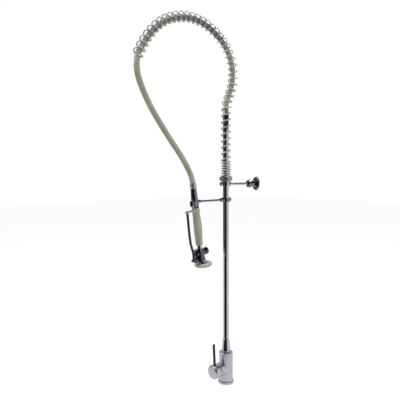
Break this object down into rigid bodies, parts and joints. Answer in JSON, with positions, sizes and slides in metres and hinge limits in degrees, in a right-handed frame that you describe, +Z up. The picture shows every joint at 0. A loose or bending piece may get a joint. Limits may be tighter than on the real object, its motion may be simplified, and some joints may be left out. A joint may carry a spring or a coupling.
{
  "type": "pre rinse faucet",
  "caption": "Deck-mounted pre-rinse faucet: single-lever mixer, tall riser, coiled support spring arching over, grey hose and a trigger spray gun hung in a hook arm, with a wall stay",
  "frame": {"origin": "centre of the mixer's foot, on the deck", "axes": "+Z up along the riser, -Y towards the user and the hanging gun, +X to the user's right"},
  "size_m": [0.0848, 0.4466, 1.1319],
  "materials": {
    "chrome": "bright chrome plate on brass",
    "stainless": "drawn stainless wire and tube, satin",
    "hose_vinyl": "smooth warm grey reinforced hose",
    "grip_vinyl": "satin warm grey moulded grip",
    "bumper_rubber": "matt warm grey moulded rubber",
    "seal_rubber": "black nitrile",
    "black_plastic": "black acetal",
    "ceramic": "lapped alumina ceramic",
    "brass": "turned brass",
    "black_screw": "black oxide steel"
  },
  "bodies": {
    "faucet": {"foot_ring": "chrome", "foot_gasket": "seal_rubber", "mixer_body": "chrome", "cartridge_shell": "black_plastic", "cartridge_seals": "seal_rubber", "fixed_disc": "ceramic", "cartridge_nut": "chrome", "housing_screw": "black_screw", "union_nut": "chrome", "union_seal": "seal_rubber", "riser_pipe": "chrome", "spring_collar": "chrome", "collar_screw": "black_screw", "spring": "stainless", "hose_nipple": "chrome", "riser_sleeve": "chrome", "hose_in_spring": "hose_vinyl", "hose_free": "hose_vinyl", "hook_clamp": "chrome", "hook_clamp_screw": "chrome", "hook_arm": "chrome", "hook_fork": "chrome"},
    "mix_carrier": {"mix_collar": "black_plastic"},
    "lever": {"stem": "brass", "stem_pin": "stainless", "lever_cap": "chrome", "pin_lever": "chrome", "cap_screw": "black_screw"},
    "ceramic_slide": {"moving_disc": "ceramic"},
    "stay_sleeve": {"stay_liner": "black_plastic"},
    "stay_arm": {"stay_clamp": "chrome", "stay_clamp_screw": "chrome", "stay_rod": "chrome"},
    "wall_plate": {"stay_nut": "chrome", "wall_flange": "chrome"},
    "hose_end": {"gun_sleeve": "chrome", "swivel_nut": "chrome", "swivel_washer": "seal_rubber"},
    "gun": {"gun_neck": "chrome", "grip_tube": "stainless", "handle_grip": "grip_vinyl", "bail_ring": "grip_vinyl", "valve_body": "chrome", "back_cap": "chrome", "trigger_pin": "stainless", "spray_neck": "chrome", "spray_plate": "stainless", "bumper_ring": "bumper_rubber", "spray_screw": "chrome"},
    "gun_trigger": {"trigger": "chrome", "trigger_knob": "chrome"},
    "plunger": {"valve_plunger": "stainless", "valve_seal": "seal_rubber", "valve_spring": "stainless"},
    "trigger_bail": {"bail": "stainless"}
  },
  "joints": [
    {"name": "lever_mix", "type": "hinge", "parent": "faucet", "child": "mix_carrier", "pos_m": [0, -0.03, 0.048], "axis": [0, -1, 0], "range_deg": [-45, 45]},
    {"name": "lever_tilt", "type": "hinge", "parent": "mix_carrier", "child": "lever", "pos_m": [0, -0.03, 0.048], "axis": [1, 0, 0], "range_deg": [0, 20]},
    {"name": "disc_slide", "type": "slide", "parent": "mix_carrier", "child": "ceramic_slide", "axis": [0, 0, 1], "range_m": [0, 0.0042]},
    {"name": "stay_height", "type": "slide", "parent": "faucet", "child": "stay_sleeve", "axis": [0, 0, 1], "range_m": [-0.03, 0]},
    {"name": "stay_turn", "type": "hinge", "parent": "stay_sleeve", "child": "stay_arm", "pos_m": [0, 0, 0.636], "axis": [0, 0, 1], "range_deg": [-70, 110]},
    {"name": "stay_reach", "type": "slide", "parent": "stay_arm", "child": "wall_plate", "axis": [0.342, 0.9397, 0], "range_m": [0, 0.012]},
    {"name": "gun_unhook", "type": "slide", "parent": "faucet", "child": "hose_end", "axis": [0, -0.9914, -0.1305], "range_m": [0, 0.06], "deforming": ["hose_free"]},
    {"name": "gun_swivel", "type": "hinge", "parent": "hose_end", "child": "gun", "pos_m": [0, -0.13021, 0.58922], "axis": [0, -0.1305, 0.9914], "continuous": true},
    {"name": "trigger_squeeze", "type": "hinge", "parent": "gun", "child": "gun_trigger", "pos_m": [0, -0.13384, 0.40991], "axis": [-1, 0, 0], "range_deg": [0, 5], "stiffness_Nm_per_rad": 0.6, "springref_deg": -8.59},
    {"name": "plunger_slide", "type": "slide", "parent": "gun", "child": "plunger", "axis": [0, 0.9914, 0.1305], "range_m": [0, 0.00176], "deforming": ["valve_spring"]},
    {"name": "bail_lift", "type": "hinge", "parent": "gun", "child": "trigger_bail", "pos_m": [0, -0.14151, 0.55818], "axis": [-1, 0, 0], "range_deg": [0, 35]}
  ],
  "couplings": [
    {"joint": "disc_slide", "follows": "lever_tilt", "m_per_rad": 0.01175},
    {"joint": "plunger_slide", "follows": "trigger_squeeze", "m_per_rad": 0.02}
  ]
}
